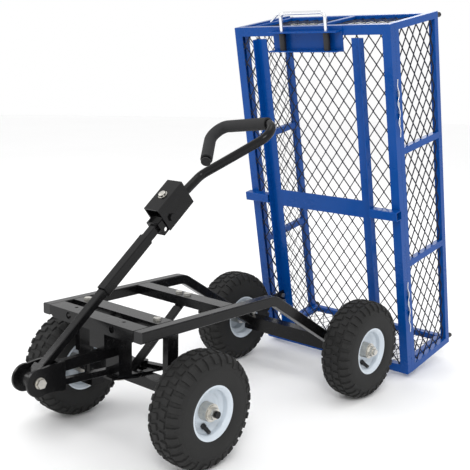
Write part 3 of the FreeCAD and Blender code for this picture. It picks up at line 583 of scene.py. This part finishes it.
def bolt_cap():
    """The washer and domed head on top of the fold box."""
    along = Vector((0, math.cos(HANDLE_SLOPE), math.sin(HANDLE_SLOPE)))
    out = Vector((0, -along.z, along.y))
    seat = HITCH + along * CAP_ALONG + out * CAP_OUT
    n = CAP_TURNS
    verts = []
    for radius, height in CAP_OUTLINE:
        for k in range(n):
            a = 2 * math.pi * k / n
            verts.append(seat + (X_AXIS * math.cos(a) + along * math.sin(a)) * (radius * MM)
                         + out * (height * MM))
    faces = [tuple(reversed(range(n)))]
    for i in range(len(CAP_OUTLINE) - 1):
        for k in range(n):
            m = (k + 1) % n
            faces.append((n * i + k, n * i + m, n * (i + 1) + m, n * (i + 1) + k))
    last = n * (len(CAP_OUTLINE) - 1)
    faces.append(tuple(range(last, last + n)))
    piece("fold_box_bolt_cap", verts, faces, finish("zinc_hardware"), "upper_handle", 35.0)


# ---- studio, in metres and radians ----
FLOOR_RADIUS = 14
SKY_STRENGTH = 1.0
SENSOR_WIDTH = 36.0
LENS_LENGTH = 66.10213          # millimetres, as the sensor width is
CAMERA_PLACE = (1.4364, -1.6426, 0.8453)
CAMERA_TURN = (0.728, -0.187, 0.021)


# ---- settings and operators ----
class CartSettings(bpy.types.PropertyGroup):
    frame_black: FloatVectorProperty(name="Frame black", description="Powder coat of the chassis and handle",
                                     subtype="COLOR", size=3, min=0, max=1, default=(0.004, 0.004, 0.0044))
    bed_blue: FloatVectorProperty(name="Bed blue", description="Powder coat of the bed and its gates",
                                  subtype="COLOR", size=3, min=0, max=1, default=(0.0005, 0.058, 0.275))
    strand_dark: FloatVectorProperty(name="Strand colour", description="Coat of the expanded metal",
                                     subtype="COLOR", size=3, min=0, max=1, default=(0.010, 0.012, 0.022))
    rubber: FloatVectorProperty(name="Tyre rubber", description="Colour of the tyres",
                                subtype="COLOR", size=3, min=0, max=1, default=(0.010, 0.010, 0.0098))
    rim_white: FloatVectorProperty(name="Rim paint", description="Colour of the wheel rims",
                                   subtype="COLOR", size=3, min=0, max=1, default=(0.56, 0.62, 0.68))
    floor_pale: FloatVectorProperty(name="Floor", description="Colour of the studio floor",
                                    subtype="COLOR", size=3, min=0, max=1, default=(0.97, 0.97, 0.97))
    tread_blocks: IntProperty(name="Tread blocks", description="Blocks in each row around a tyre",
                              default=34, min=12, max=60)
    tread_depth: FloatProperty(name="Tread depth", description="Height of the blocks over the carcass",
                               default=0.0037, min=0.001, max=0.01, unit="LENGTH")
    strand_width: FloatProperty(name="Strand width", description="Width of one strand of the mesh",
                                default=0.0026, min=0.001, max=0.006, unit="LENGTH")
    cell_across: FloatProperty(name="Cell width", description="Short diagonal of one mesh diamond",
                               default=0.036, min=0.01, max=0.1, unit="LENGTH")
    cell_along: FloatProperty(name="Cell length", description="Long diagonal of one mesh diamond",
                              default=0.049, min=0.01, max=0.15, unit="LENGTH")
    light: FloatProperty(name="Light", description="Strength of the studio lights",
                         default=1.0, min=0.1, max=4.0)


FINISHES = {}


def finish(slot_name):
    """The shared material for a slot, made on first use from the scene's settings."""
    s = bpy.context.scene.cart
    if not FINISHES:
        FINISHES["black_frame"] = powder_coat("black_frame_coat", s.frame_black, 0.27, 0.16, 0.08)
        FINISHES["blue_bed"] = powder_coat("blue_bed_coat", s.bed_blue, 0.34, 0.22, 0.06)
        FINISHES["wire_mesh"] = powder_coat("strand_coat", s.strand_dark, 0.5, 0.38, 0.1)
        FINISHES["tyre"] = tyre_rubber("tyre_rubber", s.rubber)
        FINISHES["white_rim"] = rim_paint("rim_paint", s.rim_white)
        FINISHES["zinc_hardware"] = zinc("zinc_plate", (0.50, 0.50, 0.51))
        FINISHES["chrome_bail"] = chrome("bail_chrome", (0.80, 0.81, 0.83))
        FINISHES["foam_grip"] = foam("grip_foam", (0.020, 0.020, 0.021))
        FINISHES["black_plastic"] = moulded("black_plastic", (0.014, 0.014, 0.015))
    return FINISHES[slot_name]


class CART_OT_finishes(bpy.types.Operator):
    """Give every part of the frame the finish of its slot"""
    bl_idname = "cart.finishes"
    bl_label = "Finishes"

    def execute(self, context):
        slots = {row["node"]: row["material_slot"] for row in frame["record"]["subparts"]}
        for name, part in frame["nodes"].items():
            part.data.materials.clear()
            part.data.materials.append(finish(slots[name]))
        return {"FINISHED"}


class CART_OT_wheels(bpy.types.Operator):
    """Build the treaded tyres, dished rims and valves"""
    bl_idname = "cart.wheels"
    bl_label = "Wheels"

    def execute(self, context):
        s = context.scene.cart
        for name, (spot, side) in WHEELS.items():
            centre = Vector(spot) * MM
            tread = tyre_piece(name + "_tread", centre, finish("tyre"), s)
            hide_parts(name + "_tyre")
            dish = rim_piece(name + "_dish", centre, side, finish("white_rim"))
            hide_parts(name + "_rim")
            valve_piece(name + "_valve", centre, side, finish("black_plastic"))
        return {"FINISHED"}


class CART_OT_mesh_sheets(bpy.types.Operator):
    """Build the expanded-metal floor and side sheets"""
    bl_idname = "cart.mesh_sheets"
    bl_label = "Mesh sheets"

    def execute(self, context):
        s = context.scene.cart
        solid = Solid()
        strands(solid, floor_place, 2 * BED_HALF - 0.007, BED_LENGTH - 0.007, s, s.cell_across, s.cell_along)
        made = piece("floor_strands", solid.verts, solid.faces, finish("wire_mesh"), "bed", 30.0)
        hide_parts("floor_mesh")
        half = TUBE / 2
        bays = ((TUBE, 0.326 - half), (0.326 + half, 0.644 - half), (0.644 + half, BED_LENGTH - TUBE))
        height = WALL_TOP - SIDE_FOOT - 2 * TUBE
        for side, name in ((1, "left"), (-1, "right")):
            solid = Solid()
            for low, high in bays:
                strands(solid, wall_place(side, low), height, high - low, s, s.cell_across, s.cell_along)
            made = piece(name + "_side_strands", solid.verts, solid.faces, finish("wire_mesh"),
                         name + "_side", 30.0)
            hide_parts(name + "_side_mesh")
        return {"FINISHED"}


class CART_OT_gates(bpy.types.Operator):
    """Build the front gate and the tailgate with their tube frames and mesh"""
    bl_idname = "cart.gates"
    bl_label = "Gates"

    def execute(self, context):
        s = context.scene.cart
        half = BED_HALF - TUBE - 0.0005
        for name, low in (("front_gate", BED_LENGTH - 0.0215), ("tailgate", 0.0035)):
            solid = Solid()
            place = gate_place(low)
            for z in (GATE_FOOT, WALL_TOP - TUBE):
                solid.bar(place, (-half, z, 0), (half, z + TUBE, TUBE))
            for x in (-half, -TUBE / 2, half - TUBE):
                solid.bar(place, (x, GATE_FOOT + TUBE, 0.0004), (x + TUBE, WALL_TOP - TUBE, TUBE - 0.0004))
            made = piece(name + "_tubes", solid.verts, solid.faces, finish("blue_bed"), name,
                         40.0)
            soften(made, 0.0022)
            mesh = Solid()
            tall = WALL_TOP - GATE_FOOT - 2 * TUBE
            wide = half - 1.5 * TUBE
            for start in (-half + TUBE, TUBE / 2):
                middle = gate_place(low + TUBE / 2)

                def bay(u, v, w, start=start, middle=middle):
                    return middle(start + u, GATE_FOOT + TUBE + v, w)
                strands(mesh, bay, wide, tall, s, s.cell_across, s.cell_along)
            sheet = piece(name + "_strands", mesh.verts, mesh.faces, finish("wire_mesh"), name,
                          30.0)
            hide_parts(name)
            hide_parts(name)
        return {"FINISHED"}


class CART_OT_details(bpy.types.Operator):
    """Build the wavy clip wires of the folding sides and the fold box's bolt cap"""
    bl_idname = "cart.details"
    bl_label = "Clips and bolt cap"

    def execute(self, context):
        clip_wires(1, "left")
        clip_wires(-1, "right")
        bolt_cap()
        return {"FINISHED"}


class CART_OT_studio(bpy.types.Operator):
    """Set the pale floor, soft lights and camera"""
    bl_idname = "cart.studio"
    bl_label = "Studio"

    def execute(self, context):
        s = context.scene.cart
        scene = context.scene
        mesh = bpy.data.meshes.new("studio_floor")
        rim = [(FLOOR_RADIUS * math.cos(a), FLOOR_RADIUS * math.sin(a), 0.0)
               for a in [2 * math.pi * k / 96 for k in range(96)]]
        mesh.from_pydata(rim, [], [tuple(range(96))])
        mesh.materials.append(studio_floor("studio_floor", s.floor_pale))
        ground = bpy.data.objects.new("studio_floor", mesh)
        scene.collection.objects.link(ground)

        def area(name, spot, target, size, power):
            lamp = bpy.data.lights.new(name, "AREA")
            lamp.shape = "DISK"
            lamp.size = size
            lamp.energy = power * s.light
            holder = bpy.data.objects.new(name, lamp)
            holder.location = spot
            holder.rotation_euler = (Vector(target) - Vector(spot)).to_track_quat("-Z", "Y").to_euler()
            scene.collection.objects.link(holder)
        area("key_light", (2.6, -3.0, 3.4), (0, 0, 0.4), 1.4, 70)
        area("fill_light", (-3.4, -2.0, 2.4), (0, 0, 0.4), 1.6, 22)
        area("top_light", (0.2, 0.4, 4.2), (0, 0, 0.3), 2.0, 18)
        area("back_light", (-1.5, 3.6, 2.6), (0, 0.2, 0.6), 1.6, 14)

        world = bpy.data.worlds.new("studio_world")
        world.use_nodes = True
        sky = world.node_tree.nodes["Background"]
        sky.inputs[0].default_value = (1.0, 1.0, 1.0, 1.0)
        sky.inputs[1].default_value = SKY_STRENGTH
        scene.world = world
        scene.view_settings.view_transform = "Standard"

        lens = bpy.data.cameras.new("camera")
        lens.sensor_width = SENSOR_WIDTH
        lens.lens = LENS_LENGTH
        lens.clip_start = 0.01
        lens.clip_end = 100.0
        camera = bpy.data.objects.new("camera", lens)
        camera.location = CAMERA_PLACE
        yaw, pitch, roll = CAMERA_TURN
        look = Vector((-math.sin(yaw) * math.cos(pitch), math.cos(yaw) * math.cos(pitch), math.sin(pitch)))
        turn = look.to_track_quat("-Z", "Y")
        camera.rotation_mode = "QUATERNION"
        camera.rotation_quaternion = Quaternion(look, -roll) @ turn
        scene.collection.objects.link(camera)
        scene.camera = camera
        return {"FINISHED"}


class CART_PT_panel(bpy.types.Panel):
    """Lists the cart's builders and settings"""
    bl_idname = "CART_PT_panel"
    bl_label = "Dump cart"
    bl_space_type = "VIEW_3D"
    bl_region_type = "UI"
    bl_category = "Cart"

    def draw(self, context):
        for prop in CartSettings.__annotations__:
            self.layout.prop(context.scene.cart, prop)
        for operator in BUILDERS:
            self.layout.operator(operator.bl_idname)


BUILDERS = (CART_OT_finishes, CART_OT_wheels, CART_OT_mesh_sheets, CART_OT_gates, CART_OT_details,
            CART_OT_studio)
CLASSES = (CartSettings,) + BUILDERS + (CART_PT_panel,)


def register():
    for cls in CLASSES:
        bpy.utils.register_class(cls)
    bpy.types.Scene.cart = PointerProperty(type=CartSettings)


def unregister():
    del bpy.types.Scene.cart
    for cls in reversed(CLASSES):
        bpy.utils.unregister_class(cls)


def main():
    register()
    bpy.ops.cart.finishes()
    bpy.ops.cart.wheels()
    bpy.ops.cart.mesh_sheets()
    bpy.ops.cart.gates()
    bpy.ops.cart.details()
    bpy.ops.cart.studio()


if __name__ == "__main__":
    main()
